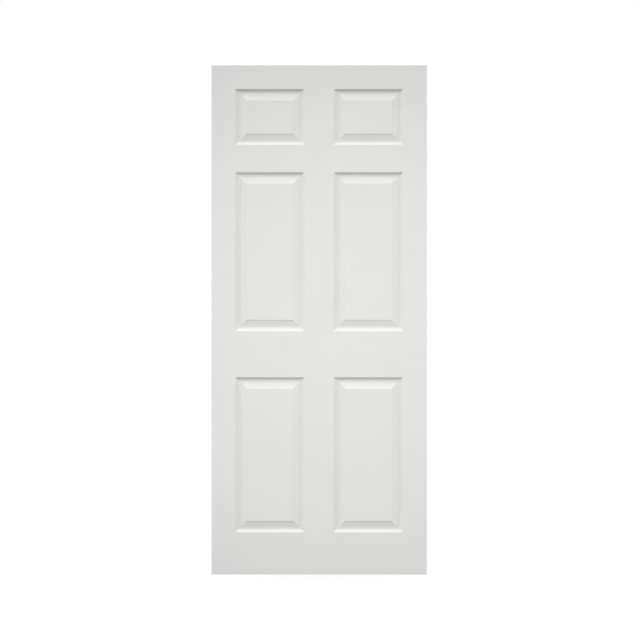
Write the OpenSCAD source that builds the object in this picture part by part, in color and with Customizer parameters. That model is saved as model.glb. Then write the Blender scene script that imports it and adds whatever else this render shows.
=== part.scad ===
// Six-panel moulded interior door leaf. Two pressed fibreboard skins are glued over a softwood
// frame with lock blocks and a kraft-paper honeycomb core. The leaf stands on its bottom edge,
// centred on the origin, with its front face towards -Y.

/* [Leaf] */
// Width of the leaf
leaf_w = 838; // [610:1:1000]
// Height of the leaf
leaf_h = 1981; // [1850:1:2200]
// Thickness of the leaf over both skins
leaf_t = 35; // [32:0.5:50]
// Width of the eased arris round each face
arris_w = 0.8; // [0.2:0.1:2]

/* [Panel layout] */
// Plain face between a side of the leaf and the panels
stile_face_w = 90; // [80:1:120]
// Plain face between the two panels of a row
muntin_face_w = 109; // [80:1:140]
// Plain face above the top panels
top_face_h = 90; // [80:1:140]
// Height of the top panels over their mouldings
top_panel_h = 222; // [160:1:300]
// Plain face between the top and middle panels
frieze_face_h = 102; // [70:1:140]
// Plain face at lock height, between the middle and bottom panels
lock_face_h = 175; // [100:1:240]
// Height of the bottom panels over their mouldings
bottom_panel_h = 608; // [400:1:700]
// Plain face below the bottom panels
bottom_face_h = 161; // [120:1:260]

/* [Panel moulding] */
// Depth of the groove round each panel below the face
groove_depth = 8.8; // [7.4:0.1:10.5]
// Width of the rounded half of the ogee, next to the face
ogee_round_w = 5.5; // [5:0.1:9]
// Width of the hollow half of the ogee, next to the groove
ogee_hollow_w = 12; // [9:0.1:16]
// Width of the flat along the bottom of the groove
groove_w = 2.5; // [0.5:0.1:6]
// Width of the bevel that rises from the groove towards the field
bevel_w = 22.5; // [16:0.5:32]
// Rise of the bevel
bevel_rise = 5.2; // [3.5:0.1:6.5]
// Sag of the bevel's hollow below a straight line
bevel_sag = 0.3; // [0.1:0.05:0.4]
// Width of the flat ledge at the foot of the shoulder
ledge_w = 0.6; // [0.2:0.1:4]
// Width of the small round shoulder at the edge of the field
shoulder_w = 3.6; // [2.4:0.1:6]
// Rise of the shoulder
shoulder_rise = 1.8; // [1:0.1:2.2]

/* [Skins] */
// Thickness of a pressed skin
skin_t = 3.2; // [2.5:0.1:4.5]

/* [Timber frame] */
// Width of a stile
stile_w = 32; // [25:1:60]
// Height of the top rail
top_rail_h = 32; // [25:1:80]
// Height of the bottom rail
bottom_rail_h = 45; // [25:1:120]

/* [Lock blocks] */
// Length of a lock block
lock_block_h = 400; // [200:1:700]
// Height of the middle of the lock blocks above the bottom of the leaf
lock_height = 950; // [700:1:1100]
// Gap between a lock block and the start of the panel moulding
lock_block_gap = 3; // [1:0.5:10]

/* [Honeycomb core] */
// Column width of a cell before the sheet is stretched to the frame
cell_w = 96; // [60:1:150]
// Height of a cell before the sheet is stretched to the frame
cell_h = 112; // [70:1:180]
// Thickness of a paper wall
cell_wall = 1; // [0.4:0.1:3]

/* [Corner staples] */
// Length of a staple's crown across the joint
staple_crown = 25; // [16:1:36]
// Length of a staple's legs
staple_leg = 12; // [8:1:20]
// Thickness of the flattened wire
staple_wire_t = 1.2; // [0.8:0.1:2]
// Width of the flattened wire
staple_wire_w = 1.6; // [0.8:0.1:3]
// Height from the front staple of a corner to the back one
staple_stagger = 10; // [6:1:16]

/* [Hidden] */
$fn = 96;

// Extra length of a cutting shape past what it cuts
overrun = 1;
// Extra radius of an arc that ends level, so that it crosses what it runs into and doesn't only touch it
arc_lap = 0.02;

// Frame, rails and lock blocks
frame_t = leaf_t - 2 * skin_t;
rail_l = leaf_w - 2 * stile_w;
cavity_h = leaf_h - top_rail_h - bottom_rail_h;
lock_block_w = stile_face_w - stile_w - lock_block_gap;

// Panels: their width, and the centre and height of each row from the bottom up
panel_w = (leaf_w - 2 * stile_face_w - muntin_face_w) / 2;
panel_x = (panel_w + muntin_face_w) / 2;
middle_panel_z = bottom_face_h + bottom_panel_h + lock_face_h;
top_panel_z = leaf_h - top_face_h - top_panel_h;
middle_panel_h = top_panel_z - frieze_face_h - middle_panel_z;
panel_rows = [
    [bottom_face_h + bottom_panel_h / 2, bottom_panel_h],
    [middle_panel_z + middle_panel_h / 2, middle_panel_h],
    [top_panel_z + top_panel_h / 2, top_panel_h]];

// Moulding: the ogee and the shoulder are arcs with one level end, the bevel is an arc over a slope,
// and places run inwards from a panel's edge
function arc_r(run, rise) = (run * run + rise * rise) / (2 * rise);
ogee_w = ogee_round_w + ogee_hollow_w;
round_r = arc_r(ogee_round_w, groove_depth * ogee_round_w / ogee_w);
hollow_r = arc_r(ogee_hollow_w, groove_depth * ogee_hollow_w / ogee_w);
bevel_l = norm([bevel_w, bevel_rise]);
bevel_r = arc_r(bevel_l / 2, bevel_sag);
shoulder_r = arc_r(shoulder_w, shoulder_rise);
bevel_start = ogee_w + groove_w;
shoulder_start = bevel_start + bevel_w + ledge_w;
field_start = shoulder_start + shoulder_w;
ledge_depth = groove_depth - bevel_rise;
field_depth = ledge_depth - shoulder_rise;
form_depth = groove_depth + skin_t + overrun;

// Centre of the bevel's arc, out in front of the face
bevel_lean = (bevel_r - bevel_sag) / bevel_l;
bevel_centre_x = bevel_start + bevel_w / 2 - bevel_rise * bevel_lean;
bevel_centre_y = groove_depth - bevel_rise / 2 - bevel_w * bevel_lean;

// Back of the skin: its bevel runs on, one skin thickness deeper, until it meets the back of the field
back_bevel_r = bevel_r + skin_t;
back_field_start = bevel_centre_x
    + sqrt(pow(back_bevel_r, 2) - pow(field_depth + skin_t - bevel_centre_y, 2));

// Honeycomb: whole columns and rows of cells fill the frame
cell_columns = round(rail_l / cell_w);
cell_rows = round(cavity_h / cell_h);
cell_dx = rail_l / cell_columns;
cell_dz = cavity_h / cell_rows;

// Draws its children at the middle of each panel, with the panel's height in $panel_h
module at_panels() {
    for (row = panel_rows, side = [-1, 1]) {
        $panel_h = row[1];
        translate([side * panel_x, 0, row[0]])
            children();
    }
}

// Crosses a section that runs up the leaf with one that runs across it, so that they meet in mitres
module mitred(w, h) {
    intersection() {
        linear_extrude(h + 2 * overrun, center = true)
            children(0);
        rotate([0, -90, 0])
            linear_extrude(w + 2 * overrun, center = true)
                children(1);
    }
}

// Draws a moulding's edge at both ends of a span
module both_edges(span) {
    translate([-span / 2, 0])
        children();
    mirror([1, 0])
        translate([-span / 2, 0])
            children();
}

// Ogee that falls from the face to the groove, as the space above it
module ogee_edge(inset) {
    inflection = ogee_round_w * (round_r - inset) / round_r;
    difference() {
        translate([0, inset - overrun])
            square([inflection, round_r - inset + overrun]);
        translate([0, round_r])
            circle(round_r - inset + arc_lap);
    }
    intersection() {
        translate([inflection / 2, inset - overrun])
            square([ogee_w + (groove_w - inflection) / 2, groove_depth + overrun]);
        translate([ogee_w, groove_depth - hollow_r])
            circle(hollow_r + inset + arc_lap);
    }
}

// Section of the whole sunk opening of a panel, as the space above it
module sunk_section(span, inset) {
    both_edges(span)
        ogee_edge(inset);
    translate([ogee_w - span / 2, inset - overrun])
        square([span - 2 * ogee_w, groove_depth + overrun]);
}

// Disc in front of a bevel, whose rim is the bevel's face or its back
module bevel_disc(r) {
    translate([bevel_centre_x, bevel_centre_y])
        circle(r, $fn = 720);
}

// Section of the bevels that rise from the groove to the ledge
module bevel_section(span) {
    foot = bevel_start - groove_w / 2;
    difference() {
        translate([foot - span / 2, ledge_depth])
            square([span - 2 * foot, form_depth - ledge_depth]);
        both_edges(span)
            bevel_disc(bevel_r);
    }
}

// Section of the field, with the round shoulders that lift it off the ledge
module field_section(span) {
    both_edges(span)
        intersection() {
            translate([shoulder_start - ledge_w / 2, field_depth])
                square([shoulder_w + ledge_w, shoulder_r]);
            translate([field_start, field_depth + shoulder_r])
                circle(shoulder_r + arc_lap);
        }
    translate([field_start - span / 2, field_depth])
        square([span - 2 * field_start, shoulder_r]);
}

// Section of the hollow behind the raised field
module back_field_section(span) {
    difference() {
        translate([bevel_start - span / 2, field_depth + skin_t])
            square([span - 2 * bevel_start, form_depth]);
        both_edges(span)
            bevel_disc(back_bevel_r);
    }
}

// Section of the leaf's face with its eased arrises
module face_section(span) {
    polygon([
        [-span / 2, form_depth],
        [-span / 2, arris_w],
        [arris_w - span / 2, 0],
        [span / 2 - arris_w, 0],
        [span / 2, arris_w],
        [span / 2, form_depth]]);
}

// Block under the moulded face of a skin
module face_form() {
    difference() {
        translate([0, 0, leaf_h / 2])
            mitred(leaf_w, leaf_h) {
                face_section(leaf_w);
                face_section(leaf_h);
            }
        at_panels()
            difference() {
                mitred(panel_w, $panel_h) {
                    sunk_section(panel_w, 0);
                    sunk_section($panel_h, 0);
                }
                mitred(panel_w, $panel_h) {
                    bevel_section(panel_w);
                    bevel_section($panel_h);
                }
                mitred(panel_w, $panel_h) {
                    field_section(panel_w);
                    field_section($panel_h);
                }
            }
    }
}

// Block under the back of a skin
module back_form() {
    difference() {
        translate([-leaf_w / 2 - overrun, skin_t, -overrun])
            cube([leaf_w + 2 * overrun, form_depth, leaf_h + 2 * overrun]);
        at_panels()
            difference() {
                mitred(panel_w, $panel_h) {
                    sunk_section(panel_w, skin_t);
                    sunk_section($panel_h, skin_t);
                }
                mitred(panel_w, $panel_h) {
                    back_field_section(panel_w);
                    back_field_section($panel_h);
                }
            }
    }
}

// Pressed skin of one thickness, with its face on the front of the leaf
module skin() {
    translate([0, -leaf_t / 2, 0])
        difference() {
            face_form();
            back_form();
        }
}

// Front skin
module front_skin() {
    color("white")
        skin();
}

// Back skin: the same pressing turned round
module back_skin() {
    color("white")
        rotate([0, 0, 180])
            skin();
}

// Timber of the frame, which lies midway between the skins
module timber(x, z, w, h) {
    color("burlywood")
        difference() {
            translate([x, -frame_t / 2, z])
                cube([w, frame_t, h]);
            all_staples();
        }
}

// Stiles, which run the whole height of the leaf
module left_stile() {
    timber(-leaf_w / 2, 0, stile_w, leaf_h);
}

module right_stile() {
    timber(leaf_w / 2 - stile_w, 0, stile_w, leaf_h);
}

// Rails, butted between the stiles
module top_rail() {
    timber(-rail_l / 2, leaf_h - top_rail_h, rail_l, top_rail_h);
}

module bottom_rail() {
    timber(-rail_l / 2, 0, rail_l, bottom_rail_h);
}

// Lock blocks, one against each stile
module lock_block(x) {
    color("burlywood")
        translate([x, -frame_t / 2, lock_height - lock_block_h / 2])
            cube([lock_block_w, frame_t, lock_block_h]);
}

module left_lock_block() {
    lock_block(-rail_l / 2);
}

module right_lock_block() {
    lock_block(rail_l / 2 - lock_block_w);
}

// One cell of the honeycomb, inside its paper walls
module cell() {
    slope_x = cell_dx / 3;
    slope_z = cell_dz / 2;
    inset = cell_wall / 2;
    point_x = 2 * slope_x - inset * norm([slope_x, slope_z]) / slope_z;
    flat_z = slope_z - inset;
    flat_x = point_x - slope_x * flat_z / slope_z;
    polygon([
        [point_x, 0],
        [flat_x, flat_z],
        [-flat_x, flat_z],
        [-point_x, 0],
        [-flat_x, -flat_z],
        [flat_x, -flat_z]]);
}

// Space for the honeycomb between the stiles, rails and lock blocks
module core_outline() {
    difference() {
        translate([-rail_l / 2, bottom_rail_h])
            square([rail_l, cavity_h]);
        for (side = [0, 1])
            translate([side * (rail_l - lock_block_w) - rail_l / 2, lock_height - lock_block_h / 2])
                square([lock_block_w, lock_block_h]);
    }
}

// Paper walls of the honeycomb, seen from the front
module core_walls() {
    difference() {
        core_outline();
        for (column = [0 : cell_columns], row = [0 : cell_rows])
            translate([
                column * cell_dx - rail_l / 2,
                bottom_rail_h + (row + (column % 2) / 2) * cell_dz])
                cell();
    }
}

// Block behind a panel, drawn in from its edges, whose faces lie at a depth below the leaf's faces
module panel_block(margin, depth) {
    cube([panel_w - 2 * margin, leaf_t - 2 * depth, $panel_h - 2 * margin], center = true);
}

// Honeycomb, crushed by the pressed mouldings so that it meets the skins at the plain face, the
// grooves and the fields
module honeycomb_core() {
    color("peru")
        difference() {
            rotate([90, 0, 0])
                linear_extrude(frame_t, center = true)
                    core_walls();
            at_panels()
                difference() {
                    panel_block(0, 0);
                    panel_block(-overrun, groove_depth + skin_t);
                    panel_block(back_field_start, field_depth + skin_t);
                }
        }
}

// One wire staple, driven in flush from the front of the frame
module staple() {
    linear_extrude(staple_wire_w, center = true)
        difference() {
            translate([-staple_crown / 2, 0])
                square([staple_crown, staple_leg]);
            translate([staple_wire_t - staple_crown / 2, staple_wire_t])
                square([staple_crown - 2 * staple_wire_t, staple_leg]);
        }
}

// Two staples at each corner, one from either side, staggered so that their legs pass
module all_staples() {
    rail_middles = [bottom_rail_h / 2, leaf_h - top_rail_h / 2];
    for (side = [-1, 1], z = rail_middles, face = [0, 1])
        translate([side * rail_l / 2, 0, z + (face - 1 / 2) * staple_stagger])
            rotate([0, 0, face * 180])
                translate([0, -frame_t / 2, 0])
                    staple();
}

module corner_staples() {
    color("silver")
        all_staples();
}

front_skin();
back_skin();
left_stile();
right_stile();
top_rail();
bottom_rail();
left_lock_block();
right_lock_block();
honeycomb_core();
corner_staples();
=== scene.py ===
import math

import bmesh
import bpy
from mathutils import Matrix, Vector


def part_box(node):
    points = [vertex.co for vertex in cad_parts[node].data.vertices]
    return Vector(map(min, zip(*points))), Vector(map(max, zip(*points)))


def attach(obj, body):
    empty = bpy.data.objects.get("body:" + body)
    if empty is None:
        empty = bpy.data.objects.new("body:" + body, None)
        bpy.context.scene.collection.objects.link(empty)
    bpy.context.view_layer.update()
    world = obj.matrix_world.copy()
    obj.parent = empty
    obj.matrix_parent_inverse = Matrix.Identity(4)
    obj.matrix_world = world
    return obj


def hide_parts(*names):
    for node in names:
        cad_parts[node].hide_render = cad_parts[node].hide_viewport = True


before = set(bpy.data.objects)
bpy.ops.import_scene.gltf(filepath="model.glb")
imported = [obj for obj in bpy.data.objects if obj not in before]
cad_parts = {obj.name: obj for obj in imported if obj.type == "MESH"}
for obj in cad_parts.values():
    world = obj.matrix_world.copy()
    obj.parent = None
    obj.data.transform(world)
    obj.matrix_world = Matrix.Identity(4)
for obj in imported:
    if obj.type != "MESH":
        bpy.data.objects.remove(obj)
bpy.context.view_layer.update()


# The timber frame: two stiles and two rails of planed pine, butted at the corners and glued
# between the skins. Only their outer edges show, sprayed with the same white primer as the faces,
# and the grain still reads through it as faint raised lines that run along each length.

def linear(code):
    """A colour written as sRGB hex, as the linear RGBA that the shader sockets take."""
    parts = [int(code[i:i + 2], 16) / 255 for i in (1, 3, 5)]
    return tuple(c / 12.92 if c <= 0.04045 else ((c + 0.055) / 1.055) ** 2.4 for c in parts) + (1,)


def node(tree, kind, links=None, **settings):
    """Adds a node, sets its properties, and fills each named input from a socket or a value."""
    made = tree.nodes.new(kind)
    for name, value in settings.items():
        setattr(made, name, value)
    for name, value in (links or {}).items():
        if isinstance(value, bpy.types.NodeSocket):
            tree.links.new(value, made.inputs[name])
        else:
            made.inputs[name].default_value = value
    return made


def finish(name):
    """A new material with an empty tree, and its tree."""
    material = bpy.data.materials.new(name)
    material.use_nodes = True
    material.node_tree.nodes.clear()
    return material, material.node_tree


def per_metre(millimetres):
    """Scale of a noise or cell pattern whose marks are about this wide."""
    return 1000 / millimetres


def ring_scale(millimetres):
    """Scale of a wave pattern whose lines repeat at this spacing."""
    return 2 * math.pi / 20 * 1000 / millimetres


def pine_rings(tree, along, pith_mm):
    """Growth rings of a pine board round a pith beside it, drawn out along the board's length."""
    place = node(tree, "ShaderNodeTexCoord").outputs["Object"]
    shift = node(tree, "ShaderNodeMapping", {
        "Vector": place,
        "Location": [-v / 1000 for v in pith_mm],
        "Scale": [0.06 if axis == along else 1 for axis in "XYZ"],
    }).outputs["Vector"]
    rings = node(tree, "ShaderNodeTexWave", {
        "Vector": shift,
        "Scale": ring_scale(3.2),
        "Distortion": 5.0,
        "Detail": 3.0,
        "Detail Scale": 0.35,
        "Detail Roughness": 0.6,
    }, wave_type="RINGS", rings_direction=along, wave_profile="SAW").outputs["Fac"]
    fibres = node(tree, "ShaderNodeTexNoise", {
        "Vector": shift,
        "Scale": per_metre(0.9),
        "Detail": 4.0,
        "Roughness": 0.65,
    }).outputs["Fac"]
    return rings, fibres


def primed_pine(name, along, pith_mm):
    """White primer on planed pine: matt, the late wood standing a few hundredths proud of the early
    wood, and a trace of the wood's warm colour where the coat is thinnest."""
    material, tree = finish(name)
    rings, fibres = pine_rings(tree, along, pith_mm)
    coat = node(tree, "ShaderNodeMixRGB", {
        "Fac": node(tree, "ShaderNodeMath", {0: rings, 1: 0.55}, operation="MULTIPLY").outputs[0],
        "Color1": linear("#E7E6E3"),
        "Color2": linear("#DEDBD4"),
    }).outputs["Color"]
    relief = node(tree, "ShaderNodeMath", {0: fibres, 1: 0.5, 2: rings},
                  operation="MULTIPLY_ADD").outputs[0]
    bump = node(tree, "ShaderNodeBump", {"Height": relief, "Strength": 0.5, "Distance": 0.00008})
    sheen = node(tree, "ShaderNodeMapRange", {"Value": fibres, "To Min": 0.52, "To Max": 0.68})
    shader = node(tree, "ShaderNodeBsdfPrincipled", {
        "Base Color": coat,
        "Roughness": sheen.outputs["Result"],
        "Normal": bump.outputs["Normal"],
        "IOR": 1.5,
    })
    node(tree, "ShaderNodeOutputMaterial", {"Surface": shader.outputs["BSDF"]})
    return material


def coat_node(name, material):
    """Gives a CAD node a better finish in each of its material slots."""
    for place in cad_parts[name].material_slots:
        place.material = material


stile_primer = primed_pine("primed_pine_stile", "Z", (0, 55, 0))
for stile in ("left_stile", "right_stile"):
    coat_node(stile, stile_primer)

rail_primer = primed_pine("primed_pine_rail", "X", (0, 48, 1930))
for rail in ("top_rail", "bottom_rail"):
    coat_node(rail, rail_primer)


# The lock blocks: short lengths of sawn pine glued beside each stile at lock height, so that a
# latch and its handle have timber to bite into. They are bare wood, closed in by the skins.

def bare_pine(name, along, pith_mm):
    """Sawn pine with no coat: pale straw early wood, tan late wood in lines about 3 mm apart, and a
    dull, slightly woolly surface left by the saw."""
    material, tree = finish(name)
    rings, fibres = pine_rings(tree, along, pith_mm)
    early = node(tree, "ShaderNodeMixRGB", {
        "Fac": fibres,
        "Color1": linear("#E2C79A"),
        "Color2": linear("#D3B07C"),
    }).outputs["Color"]
    tone = node(tree, "ShaderNodeMixRGB", {
        "Fac": node(tree, "ShaderNodeMath", {0: rings, 1: 2.2}, operation="POWER").outputs[0],
        "Color1": early,
        "Color2": linear("#B98A52"),
    }).outputs["Color"]
    bump = node(tree, "ShaderNodeBump", {"Height": fibres, "Strength": 0.7, "Distance": 0.0003})
    shader = node(tree, "ShaderNodeBsdfPrincipled", {
        "Base Color": tone,
        "Roughness": 0.78,
        "Normal": bump.outputs["Normal"],
        "IOR": 1.5,
    })
    node(tree, "ShaderNodeOutputMaterial", {"Surface": shader.outputs["BSDF"]})
    return material


block_pine = bare_pine("sawn_pine", "Z", (0, 40, 0))
for block in ("left_lock_block", "right_lock_block"):
    coat_node(block, block_pine)


# The honeycomb core: strips of brown kraft paper glued to each other in turns and pulled open into
# cells, which keep the two skins apart and stop them drumming. It is glued to both skins.

# Kraft paper: a dull, warm brown, clouded and streaked with the long fibres and flecks of the
# recycled pulp, about 2 mm by 0.4 mm
kraft, tree = finish("kraft_paper")
place = node(tree, "ShaderNodeTexCoord").outputs["Object"]
drawn_out = node(tree, "ShaderNodeMapping", {"Vector": place, "Scale": (1, 1, 0.2)})
pulp = node(tree, "ShaderNodeTexNoise", {
    "Vector": drawn_out.outputs["Vector"],
    "Scale": per_metre(0.4),
    "Detail": 5.0,
}).outputs["Fac"]
clouds = node(tree, "ShaderNodeTexNoise", {"Vector": place, "Scale": per_metre(9)}).outputs["Fac"]
flecks = node(tree, "ShaderNodeMath", {0: pulp, 1: 0.6, 2: clouds}, operation="MULTIPLY_ADD")
paper_tone = node(tree, "ShaderNodeMixRGB", {
    "Fac": flecks.outputs[0],
    "Color1": linear("#B08A5C"),
    "Color2": linear("#94703F"),
}).outputs["Color"]
paper_bump = node(tree, "ShaderNodeBump", {"Height": pulp, "Strength": 0.4, "Distance": 0.0001})
shader = node(tree, "ShaderNodeBsdfPrincipled", {
    "Base Color": paper_tone,
    "Roughness": 0.88,
    "Normal": paper_bump.outputs["Normal"],
    "IOR": 1.5,
})
node(tree, "ShaderNodeOutputMaterial", {"Surface": shader.outputs["BSDF"]})
coat_node("honeycomb_core", kraft)


# The corner staples: flat galvanised wire staples shot across each butt joint of the frame, four in
# each face, which hold the frame square until the glue has set in the press.

# Galvanised steel wire: a cool grey metal, half bright, with small dull patches in the zinc about
# 1.5 mm across
wire, tree = finish("galvanised_steel_wire")
place = node(tree, "ShaderNodeTexCoord").outputs["Object"]
zinc = node(tree, "ShaderNodeTexNoise", {"Vector": place, "Scale": per_metre(1.5), "Detail": 3.0})
zinc = zinc.outputs["Fac"]
shine = node(tree, "ShaderNodeMapRange", {"Value": zinc, "To Min": 0.28, "To Max": 0.48})
zinc_tone = node(tree, "ShaderNodeMixRGB", {
    "Fac": zinc,
    "Color1": linear("#C3C6C9"),
    "Color2": linear("#A9ADB1"),
}).outputs["Color"]
shader = node(tree, "ShaderNodeBsdfPrincipled", {
    "Base Color": zinc_tone,
    "Metallic": 1.0,
    "Roughness": shine.outputs["Result"],
})
node(tree, "ShaderNodeOutputMaterial", {"Surface": shader.outputs["BSDF"]})
coat_node("corner_staples", wire)


# The skins: two sheets of 3.2 mm fibreboard, pressed hot in one die each so that the mouldings, the
# grooves and the raised fields of all six panels are formed in the sheet, then glued over the frame
# and sprayed white. The back skin is the front one turned round.

low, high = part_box("front_skin")
leaf_w = high[0] - low[0]
leaf_h = high[2] - low[2]
face_y = low[1]

# hold_w of flat is kept beside each edge, and what is closer than near counts as in line
skin_t = 0.0032
arris_w = 0.0008
seam_w = 0.0003
hold_w = 0.0005
near = 0.00001

# the six panels, from the outer edges of their mouldings
muntin_w = 0.109
panel_w = 0.2745
panel_rows = ((0.161, 0.769), (0.944, 1.567), (1.669, 1.891))

# the moulding from the panel's edge inwards: an ogee, a groove, a slightly hollow bevel, a shoulder,
# and the steps that each arc is drawn in
groove_depth = 0.0088
ogee_round_w = 0.0055
ogee_hollow_w = 0.012
groove_w = 0.0025
bevel_w, bevel_rise, bevel_sag = 0.0225, 0.0052, 0.0003
ledge_w = 0.0006
shoulder_w, shoulder_rise = 0.0036, 0.0018
ogee_steps, bevel_steps, shoulder_steps = 14, 8, 10
ogee_slope = 2 * math.atan(groove_depth / (ogee_round_w + ogee_hollow_w))
bevel_slope = math.atan(bevel_rise / bevel_w)
bevel_turn = 2 * math.atan(2 * bevel_sag / math.hypot(bevel_w, bevel_rise))
shoulder_slope = 2 * math.atan(shoulder_rise / shoulder_w)


def arc_steps(run, first, last, count):
    """Width and drop of each step of an arc whose downward slope turns from first to last."""
    radius = run / abs(math.sin(last) - math.sin(first))
    slopes = [first + (last - first) * i / count for i in range(count + 1)]
    steps = []
    for a, b in zip(slopes, slopes[1:]):
        wide = radius * abs(math.sin(b) - math.sin(a))
        deep = radius * abs(math.cos(b) - math.cos(a))
        steps.append((wide, math.copysign(deep, a + b)))
    return steps


def pick(piece, kind, wanted):
    """Selects the faces or edges of the mesh being edited that pass the test, and nothing else."""
    bpy.ops.mesh.select_mode(type="FACE" if kind == "faces" else "EDGE")
    bpy.ops.mesh.select_all(action="DESELECT")
    mesh = bmesh.from_edit_mesh(piece.data)
    for part in getattr(mesh, kind):
        if wanted(part):
            part.select_set(True)
    bmesh.update_edit_mesh(piece.data)


bpy.ops.object.select_all(action="DESELECT")
bpy.ops.mesh.primitive_plane_add(size=1, location=(0, face_y, leaf_h / 2),
                                 rotation=(math.pi / 2, 0, 0))
front = bpy.context.object
front.name = "pressed_skin_front"
bpy.ops.transform.resize(value=(leaf_w, 1, leaf_h))
bpy.ops.object.transform_apply(location=True, rotation=True, scale=True)

# the sheet is ruled off half a millimetre outside each panel and inside the arris, so that the flats
# stay flat right up to them
bpy.ops.object.mode_set(mode="EDIT")
margin = arris_w + hold_w
uprights = [leaf_w / 2 - margin, muntin_w / 2 + panel_w + hold_w, muntin_w / 2 - hold_w]
for x in [side * x for x in uprights for side in (-1, 1)]:
    bpy.ops.mesh.select_all(action="SELECT")
    bpy.ops.mesh.bisect(plane_co=(x, 0, 0), plane_no=(1, 0, 0))
levels = [z for bottom, top in panel_rows for z in (bottom - hold_w, top + hold_w)]
for z in [margin, leaf_h - margin] + levels:
    bpy.ops.mesh.select_all(action="SELECT")
    bpy.ops.mesh.bisect(plane_co=(0, 0, z), plane_no=(0, 0, 1))


def in_panel(face):
    """True for one of the six ruled panels."""
    middle = face.calc_center_median()
    across = muntin_w / 2 < abs(middle.x) < muntin_w / 2 + panel_w
    return across and any(bottom < middle.z < top for bottom, top in panel_rows)


pick(front, "faces", in_panel)
moulding = [(hold_w, 0)]
moulding += arc_steps(ogee_round_w, 0, ogee_slope, ogee_steps)
moulding += arc_steps(ogee_hollow_w, ogee_slope, 0, ogee_steps)
moulding += [(groove_w, 0)]
moulding += arc_steps(bevel_w, bevel_turn - bevel_slope, -bevel_turn - bevel_slope, bevel_steps)
moulding += [(ledge_w, 0)]
moulding += arc_steps(shoulder_w, -shoulder_slope, 0, shoulder_steps)
moulding += [(hold_w, 0)]
for step_w, step_drop in moulding:
    bpy.ops.mesh.inset(thickness=step_w, depth=-step_drop, use_individual=True, use_even_offset=True)


def on_mitre(edge):
    """True for an edge that runs across and up at once, which only the mitres do."""
    run = edge.verts[0].co - edge.verts[1].co
    return abs(run.x) > near and abs(run.z) > near


# the mitres stay crisp lines, as the die's are
pick(front, "edges", on_mitre)
bpy.ops.mesh.mark_sharp()
bpy.ops.object.mode_set(mode="OBJECT")

pressed = front.modifiers.new("pressed_thickness", "SOLIDIFY")
pressed.thickness = skin_t
pressed.offset = -1
pressed.use_even_offset = True
bpy.ops.object.modifier_apply(modifier="pressed_thickness")


def on_rim(y):
    """A test for the edges round the sheet's outline at one depth."""
    def test(edge):
        a, b = edge.verts[0].co, edge.verts[1].co
        flat = abs(a.y - y) < near and abs(b.y - y) < near
        upright = abs(abs(a.x) - leaf_w / 2) < near and abs(a.x - b.x) < near
        level = min(abs(a.z), abs(a.z - leaf_h)) < near and abs(a.z - b.z) < near
        return flat and (upright or level)
    return test


# the sanded arris round the face, and the fine edge that shows as a line where skin meets frame
bpy.ops.object.mode_set(mode="EDIT")
pick(front, "edges", on_rim(face_y))
bpy.ops.mesh.bevel(offset=arris_w, segments=3, profile=0.5, affect="EDGES")
pick(front, "edges", on_rim(face_y + skin_t))
bpy.ops.mesh.bevel(offset=seam_w, segments=1, affect="EDGES")
bpy.ops.object.mode_set(mode="OBJECT")
smooth_below = math.radians(35)
bpy.ops.object.shade_smooth_by_angle(angle=smooth_below, keep_sharp_edges=True)

# Sprayed acrylic primer on pressed fibreboard: an even, faintly warm white with a low satin sheen,
# the fine dimples of a sprayed coat, a very slow waviness of the sheet, and painted shade in the
# bottom of the grooves, a grey that stands partly for dust and thicker paint and partly for the
# shade there.
primer, tree = finish("sprayed_primer_on_fibreboard")
place = node(tree, "ShaderNodeTexCoord").outputs["Object"]
cloud = node(tree, "ShaderNodeTexNoise", {"Vector": place, "Scale": per_metre(120), "Detail": 2.0})
white = node(tree, "ShaderNodeMixRGB", {
    "Fac": cloud.outputs["Fac"],
    "Color1": linear("#E9E8E6"),
    "Color2": linear("#E5E5E3"),
}).outputs["Color"]
# painted shade and dust darken the last third of the groove's depth, on either face
dust_and_shade_depth = 0.7 * groove_depth
depth = node(tree, "ShaderNodeMath", {
    0: node(tree, "ShaderNodeSeparateXYZ", {"Vector": place}).outputs["Y"],
}, operation="ABSOLUTE").outputs[0]
dust_and_shade = node(tree, "ShaderNodeMapRange", {
    "Value": depth,
    "From Min": -face_y - dust_and_shade_depth,
    "From Max": -face_y - groove_depth,
    "To Min": 0.0,
    "To Max": 0.35,
}).outputs["Result"]
# the groove floors are mixed up to 35 % towards grey: painted shade as well as dust
white = node(tree, "ShaderNodeMixRGB", {
    "Fac": dust_and_shade,
    "Color1": white,
    "Color2": linear("#D4D3D0"),
}).outputs["Color"]
# dimples of the sprayed coat, 2.4 mm across, over waves of the sheet 70 mm across
dimples = node(tree, "ShaderNodeTexNoise", {"Vector": place, "Scale": per_metre(2.4), "Detail": 1.0})
dimple_bump = node(tree, "ShaderNodeBump", {
    "Height": dimples.outputs["Fac"],
    "Strength": 0.35,
    "Distance": 0.00006,
})
wave = node(tree, "ShaderNodeTexNoise", {"Vector": place, "Scale": per_metre(70), "Detail": 0.0})
wave_bump = node(tree, "ShaderNodeBump", {
    "Height": wave.outputs["Fac"],
    "Strength": 0.6,
    "Distance": 0.0006,
    "Normal": dimple_bump.outputs["Normal"],
})
satin = node(tree, "ShaderNodeMapRange", {
    "Value": cloud.outputs["Fac"],
    "To Min": 0.56,
    "To Max": 0.68,
})
shader = node(tree, "ShaderNodeBsdfPrincipled", {
    "Base Color": white,
    "Roughness": satin.outputs["Result"],
    "Normal": wave_bump.outputs["Normal"],
    "IOR": 1.5,
})
node(tree, "ShaderNodeOutputMaterial", {"Surface": shader.outputs["BSDF"]})
front.data.materials.append(primer)

# the second skin is a copy, turned half round about the leaf's upright middle line
bpy.ops.object.duplicate()
back = bpy.context.object
back.name = "pressed_skin_back"
bpy.ops.transform.rotate(value=math.pi, orient_axis="Z", center_override=(0, 0, 0))
bpy.ops.object.transform_apply(location=True, rotation=True, scale=True)

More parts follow.
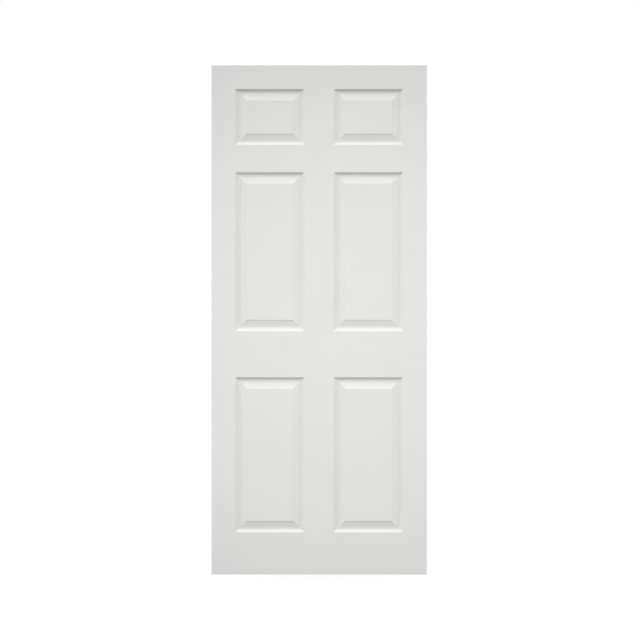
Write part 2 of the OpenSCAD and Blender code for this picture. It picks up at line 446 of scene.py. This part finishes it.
for skin, cad_node in ((front, "front_skin"), (back, "back_skin")):
    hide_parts(cad_node)
    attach(skin, "root")


# The studio: a plain floor and a white surround. The camera sees both as white, and the floor
# keeps a faint shadow, but it throws little light back up at the leaf.

floor_r = 30
floor_drop = 0.001
bpy.ops.object.select_all(action="DESELECT")
bpy.ops.mesh.primitive_circle_add(vertices=96, radius=floor_r, fill_type="NGON",
                                  location=(0, 0, -floor_drop))
floor = bpy.context.object
floor.name = "studio_floor"
bpy.ops.object.transform_apply(location=True, rotation=True, scale=True)


def seen(tree):
    """1 for what the camera sees, directly or in a gloss or through glass, else 0."""
    path = node(tree, "ShaderNodeLightPath").outputs
    either = node(tree, "ShaderNodeMath", {
        0: path["Is Camera Ray"],
        1: path["Is Glossy Ray"],
    }, operation="MAXIMUM").outputs[0]
    return node(tree, "ShaderNodeMath", {
        0: either,
        1: path["Is Transmission Ray"],
    }, operation="MAXIMUM").outputs[0]


# a matt pale floor: it glows a little where it is seen, so that it comes out white round the shadow,
# and is dark for the light that it would throw back
pale, tree = finish("pale_floor")
shown = seen(tree)
floor_glow = 0.69
glow = node(tree, "ShaderNodeMath", {0: shown, 1: floor_glow}, operation="MULTIPLY").outputs[0]
tone = node(tree, "ShaderNodeMixRGB", {
    "Fac": shown,
    "Color1": (0.08, 0.08, 0.08, 1),
    "Color2": (0.3, 0.3, 0.3, 1),
}).outputs["Color"]
shader = node(tree, "ShaderNodeAddShader", {
    0: node(tree, "ShaderNodeBsdfDiffuse", {"Color": tone}).outputs["BSDF"],
    1: node(tree, "ShaderNodeEmission", {"Strength": glow}).outputs["Emission"],
})
node(tree, "ShaderNodeOutputMaterial", {"Surface": shader.outputs["Shader"]})
floor.data.materials.append(pale)

# the surround is white where it is seen, and lights the leaf at this strength
surround = 0.4
world = bpy.data.worlds.new("white_surround")
bpy.context.scene.world = world
world.use_nodes = True
tree = world.node_tree
tree.nodes.clear()
strength = node(tree, "ShaderNodeMath", {
    0: seen(tree),
    1: 1 - surround,
    2: surround,
}, operation="MULTIPLY_ADD").outputs[0]
sky = node(tree, "ShaderNodeBackground", {"Color": (1, 1, 1, 1), "Strength": strength})
node(tree, "ShaderNodeOutputWorld", {"Surface": sky.outputs["Background"]})


def soft_lamp(name, kind, place, aim, power):
    """A soft lamp at a place, turned towards a point."""
    away = [b - a for a, b in zip(place, aim)]
    pitch = math.atan2(math.hypot(away[0], away[1]), -away[2])
    turn = math.atan2(away[1], away[0]) - math.pi / 2
    bpy.ops.object.light_add(type=kind, location=place, rotation=(pitch, 0, turn))
    lamp = bpy.context.object
    lamp.name = name
    lamp.data.energy = power
    lamp.visible_camera = False
    return lamp


# a soft key high in front and a weaker one behind, a low light from each side of both faces, which
# reaches into the mouldings and along the edges, and spots on each face's middle
lamp_spread = math.radians(50)
leaf_middle = (0, 0, 1)
for name, place, power in (
    ("key_above", (0, -7.77, 7.29), 0.88),
    ("left_side", (-7.85, -4.53, 5.2), 0.9),
    ("right_side", (8.39, -4.09, 4.58), 0.66),
    ("rear_above", (0, 7.4, 7.7), 0.45),
    ("rear_left", (-7.85, 4.53, 5.2), 1.1),
    ("rear_right", (7.85, 4.53, 5.2), 1.1),
):
    sun = soft_lamp(name, "SUN", place, leaf_middle, power)
    sun.data.angle = lamp_spread

# reach is how far from its aim a spot has faded out, and spot_r makes its shadows soft
spot_r = 0.5
for name, place, aim, reach, power in (
    ("front_broad", (0.1, -6, 0.9), (0.1, 0, 0.9), 1.9, 70),
    ("front_spot", (0.1, -6, 2.1), (0.1, 0, 0.94), 1.44, 334),
    ("rear_spot", (0.1, 6, 2.1), (0.1, 0, 0.94), 1.44, 370),
):
    spot = soft_lamp(name, "SPOT", place, aim, power)
    spot.data.spot_size = 2 * math.atan(reach / math.dist(place, aim))
    spot.data.spot_blend = 1
    spot.data.shadow_soft_size = spot_r


# The camera stands square on, level with the middle of the leaf, as in the photograph. It is far
# enough off that the leaf's height fills the same share of the picture, at 3.892 mm to a pixel, and
# a few millimetres to the side and down, because the photograph isn't quite centred.

lens = 100
sensor = 36
image_w = 640
pixel_w = 0.003892
distance = pixel_w * image_w * lens / sensor
off_x, off_z = 0.0033, -0.001
bpy.ops.object.camera_add(location=(off_x, face_y - distance, leaf_h / 2 + off_z),
                          rotation=(math.pi / 2, 0, 0))
camera = bpy.context.object
camera.data.lens = lens
camera.data.sensor_width = sensor
camera.data.clip_end = 100
bpy.context.scene.camera = camera
bpy.context.scene.view_settings.view_transform = "Standard"
